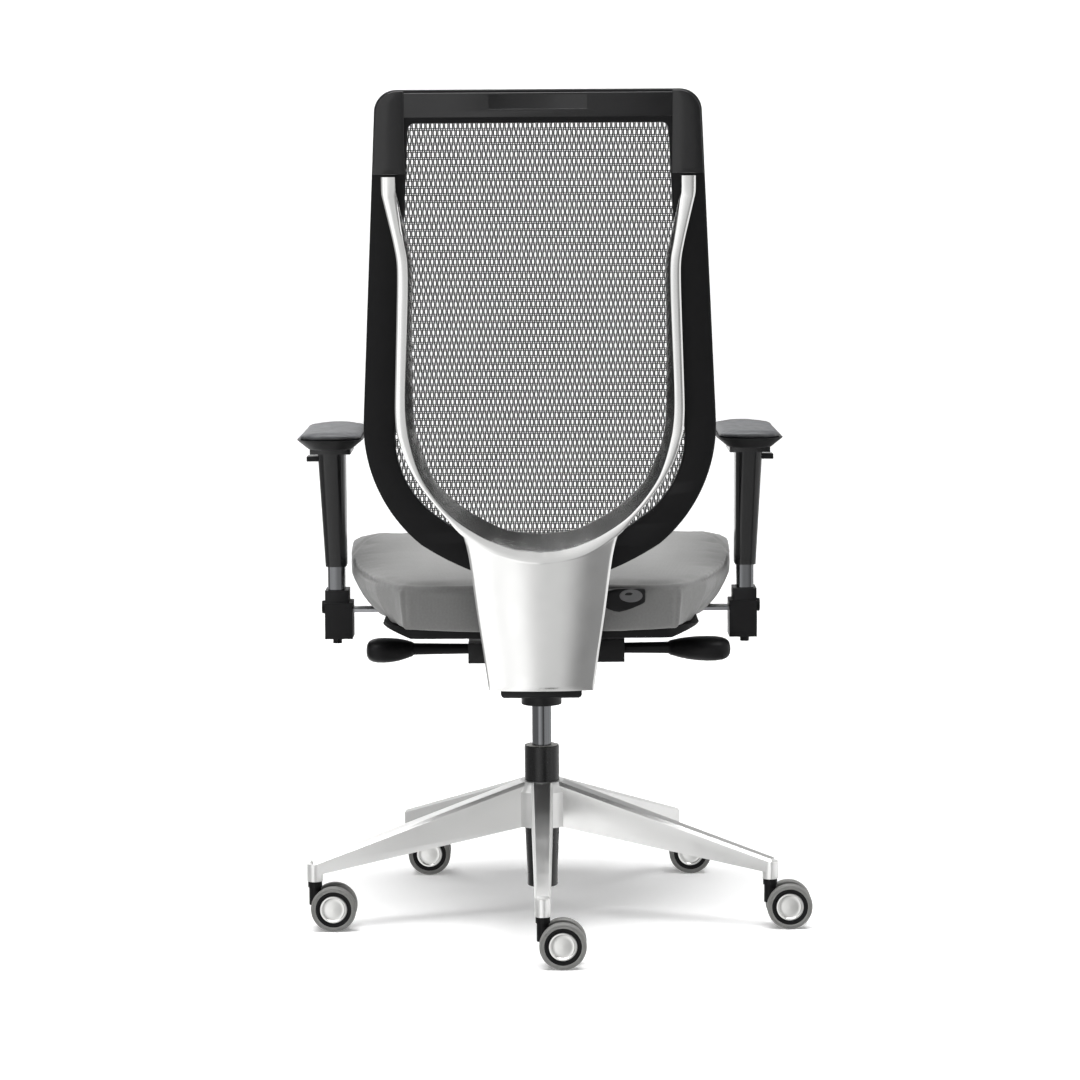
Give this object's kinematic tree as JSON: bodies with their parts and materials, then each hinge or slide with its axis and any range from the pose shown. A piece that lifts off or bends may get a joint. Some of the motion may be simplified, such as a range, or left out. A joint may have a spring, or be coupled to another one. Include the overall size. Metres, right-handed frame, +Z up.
{
  "type": "office task chair",
  "caption": "Mesh-back swivel task chair with polished yoke and star base, adjustable armrests, synchronised recline and gas lift.",
  "frame": {"origin": "on the gas column's axis at floor level", "axes": "+Z up along the column, +Y the way the sitter faces, +X to the sitter's right as seen from behind"},
  "size_m": [0.7276, 0.6595, 1.178],
  "materials": {
    "polished_aluminium": "polished",
    "black_steel": "satin",
    "column_black": "satin",
    "chromed_steel": "polished",
    "bright_steel": "satin",
    "black_nylon": "satin",
    "gloss_black": "gloss",
    "acetal": "satin",
    "tyre_grey": "matte",
    "seat_fabric": "matte",
    "back_mesh": "matte",
    "pad_grey": "satin",
    "spring_steel": "satin"
  },
  "bodies": {
    "base": {"base_star": "polished_aluminium", "column_tube": "column_black", "column_bush": "acetal", "thrust_bearing": "bright_steel"},
    "piston": {"piston_rod": "chromed_steel", "column_clip": "spring_steel"},
    "mechanism": {"gas_cylinder": "chromed_steel", "mechanism_housing": "black_steel", "pivot_shafts": "bright_steel", "tension_springs": "spring_steel", "mechanism_cover": "black_nylon"},
    "release_pin": {"release_pin": "bright_steel"},
    "height_lever": {"height_lever": "black_nylon"},
    "tilt_lever": {"tilt_lever": "black_nylon"},
    "back": {"back_carrier": "black_steel", "yoke": "polished_aluminium", "back_frame": "black_nylon", "back_mesh": "back_mesh", "corner_covers": "gloss_black"},
    "rear_paddle": {"rear_paddle": "black_nylon"},
    "seat_carrier": {"seat_plate": "black_steel", "bracket_screws": "bright_steel", "left_arm_bracket": "bright_steel", "right_arm_bracket": "bright_steel"},
    "seat": {"seat_pan": "black_nylon", "seat_cushion": "seat_fabric"},
    "left_arm_lower": {"left_arm_socket": "black_nylon", "left_arm_post": "chromed_steel"},
    "left_arm_knob": {"left_arm_knob": "black_nylon"},
    "left_arm_upper": {"left_arm_sleeve": "gloss_black"},
    "left_arm_trigger": {"left_arm_trigger": "black_nylon"},
    "left_arm_rest": {"left_arm_pad_shell": "black_nylon", "left_arm_pad": "pad_grey"},
    "right_arm_lower": {"right_arm_socket": "black_nylon", "right_arm_post": "chromed_steel"},
    "right_arm_knob": {"right_arm_knob": "black_nylon"},
    "right_arm_upper": {"right_arm_sleeve": "gloss_black"},
    "right_arm_trigger": {"right_arm_trigger": "black_nylon"},
    "right_arm_rest": {"right_arm_pad_shell": "black_nylon", "right_arm_pad": "pad_grey"},
    "caster_1_fork": {"caster_1_hood": "black_nylon", "caster_1_pins": "bright_steel"},
    "caster_1_wheel": {"caster_1_wheels": "black_nylon", "caster_1_tyres": "tyre_grey"},
    "caster_2_fork": {"caster_2_hood": "black_nylon", "caster_2_pins": "bright_steel"},
    "caster_2_wheel": {"caster_2_wheels": "black_nylon", "caster_2_tyres": "tyre_grey"},
    "caster_3_fork": {"caster_3_hood": "black_nylon", "caster_3_pins": "bright_steel"},
    "caster_3_wheel": {"caster_3_wheels": "black_nylon", "caster_3_tyres": "tyre_grey"},
    "caster_4_fork": {"caster_4_hood": "black_nylon", "caster_4_pins": "bright_steel"},
    "caster_4_wheel": {"caster_4_wheels": "black_nylon", "caster_4_tyres": "tyre_grey"},
    "caster_5_fork": {"caster_5_hood": "black_nylon", "caster_5_pins": "bright_steel"},
    "caster_5_wheel": {"caster_5_wheels": "black_nylon", "caster_5_tyres": "tyre_grey"}
  },
  "joints": [
    {"name": "seat_swivel", "type": "hinge", "parent": "base", "child": "piston", "pos_m": [0, 0, 0], "axis": [0, 0, 1], "continuous": true},
    {"name": "seat_lift", "type": "slide", "parent": "piston", "child": "mechanism", "axis": [0, 0, 1], "range_m": [-0.05, 0.05]},
    {"name": "back_recline", "type": "hinge", "parent": "mechanism", "child": "back", "pos_m": [0, -0.06, 0.377], "axis": [1, 0, 0], "range_deg": [0, 22], "stiffness_Nm_per_rad": 60, "springref_deg": -28.65},
    {"name": "seat_tilt", "type": "hinge", "parent": "mechanism", "child": "seat_carrier", "pos_m": [0, 0.11, 0.376], "axis": [1, 0, 0], "range_deg": [0, 8]},
    {"name": "height_lever_lift", "type": "hinge", "parent": "mechanism", "child": "height_lever", "pos_m": [0, 0.018, 0.384], "axis": [1, 0, 0], "range_deg": [0, 12], "stiffness_Nm_per_rad": 1.5, "springref_deg": -22.92},
    {"name": "release_pin_press", "type": "slide", "parent": "mechanism", "child": "release_pin", "axis": [0, 0, 1], "range_m": [-0.006, 0]},
    {"name": "tilt_lever_turn", "type": "hinge", "parent": "mechanism", "child": "tilt_lever", "pos_m": [0, 0.018, 0.384], "axis": [1, 0, 0], "range_deg": [0, 25]},
    {"name": "rear_paddle_turn", "type": "hinge", "parent": "back", "child": "rear_paddle", "pos_m": [0.088, -0.209, 0.482], "axis": [0, 1, 0], "range_deg": [-20, 20]},
    {"name": "seat_depth", "type": "slide", "parent": "seat_carrier", "child": "seat", "axis": [0, 1, 0], "range_m": [0, 0.05]},
    {"name": "left_arm_width", "type": "slide", "parent": "seat_carrier", "child": "left_arm_lower", "axis": [-1, 0, 0], "range_m": [0, 0.02]},
    {"name": "left_arm_height", "type": "slide", "parent": "left_arm_lower", "child": "left_arm_upper", "axis": [0, 0, 1], "range_m": [-0.03, 0.05]},
    {"name": "left_arm_knob_turn", "type": "hinge", "parent": "left_arm_lower", "child": "left_arm_knob", "pos_m": [-0.3134, 0.05, 0.442], "axis": [1, 0, 0], "range_deg": [0, 90]},
    {"name": "left_arm_trigger_pull", "type": "hinge", "parent": "left_arm_upper", "child": "left_arm_trigger", "pos_m": [-0.3162, 0.05, 0.659], "axis": [0, 1, 0], "range_deg": [0, 8], "stiffness_Nm_per_rad": 0.3, "springref_deg": -17.19},
    {"name": "left_arm_pad_slide", "type": "slide", "parent": "left_arm_upper", "child": "left_arm_rest", "axis": [0, 1, 0], "range_m": [-0.025, 0.025]},
    {"name": "right_arm_width", "type": "slide", "parent": "seat_carrier", "child": "right_arm_lower", "axis": [1, 0, 0], "range_m": [0, 0.02]},
    {"name": "right_arm_height", "type": "slide", "parent": "right_arm_lower", "child": "right_arm_upper", "axis": [0, 0, 1], "range_m": [-0.03, 0.05]},
    {"name": "right_arm_knob_turn", "type": "hinge", "parent": "right_arm_lower", "child": "right_arm_knob", "pos_m": [0.3134, 0.05, 0.442], "axis": [1, 0, 0], "range_deg": [0, 90]},
    {"name": "right_arm_trigger_pull", "type": "hinge", "parent": "right_arm_upper", "child": "right_arm_trigger", "pos_m": [0.3162, 0.05, 0.659], "axis": [0, -1, 0], "range_deg": [0, 8], "stiffness_Nm_per_rad": 0.3, "springref_deg": -17.19},
    {"name": "right_arm_pad_slide", "type": "slide", "parent": "right_arm_upper", "child": "right_arm_rest", "axis": [0, 1, 0], "range_m": [-0.025, 0.025]},
    {"name": "caster_1_swivel", "type": "hinge", "parent": "base", "child": "caster_1_fork", "pos_m": [0, -0.34, 0], "axis": [0, 0, 1], "continuous": true},
    {"name": "caster_1_roll", "type": "hinge", "parent": "caster_1_fork", "child": "caster_1_wheel", "pos_m": [0.027, -0.34, 0.0322], "axis": [0, 1, 0], "continuous": true},
    {"name": "caster_2_swivel", "type": "hinge", "parent": "base", "child": "caster_2_fork", "pos_m": [0.32336, -0.10507, 0], "axis": [0, 0, 1], "continuous": true},
    {"name": "caster_2_roll", "type": "hinge", "parent": "caster_2_fork", "child": "caster_2_wheel", "pos_m": [0.35036, -0.10507, 0.0322], "axis": [0, 1, 0], "continuous": true},
    {"name": "caster_3_swivel", "type": "hinge", "parent": "base", "child": "caster_3_fork", "pos_m": [0.19985, 0.27507, 0], "axis": [0, 0, 1], "continuous": true},
    {"name": "caster_3_roll", "type": "hinge", "parent": "caster_3_fork", "child": "caster_3_wheel", "pos_m": [0.22685, 0.27507, 0.0322], "axis": [0, 1, 0], "continuous": true},
    {"name": "caster_4_swivel", "type": "hinge", "parent": "base", "child": "caster_4_fork", "pos_m": [-0.19985, 0.27507, 0], "axis": [0, 0, 1], "continuous": true},
    {"name": "caster_4_roll", "type": "hinge", "parent": "caster_4_fork", "child": "caster_4_wheel", "pos_m": [-0.17285, 0.27507, 0.0322], "axis": [0, 1, 0], "continuous": true},
    {"name": "caster_5_swivel", "type": "hinge", "parent": "base", "child": "caster_5_fork", "pos_m": [-0.32336, -0.10507, 0], "axis": [0, 0, 1], "continuous": true},
    {"name": "caster_5_roll", "type": "hinge", "parent": "caster_5_fork", "child": "caster_5_wheel", "pos_m": [-0.29636, -0.10507, 0.0322], "axis": [0, 1, 0], "continuous": true}
  ],
  "couplings": [
    {"joint": "seat_tilt", "follows": "back_recline", "ratio": 0.36},
    {"joint": "release_pin_press", "follows": "height_lever_lift", "m_per_rad": -0.02149}
  ]
}
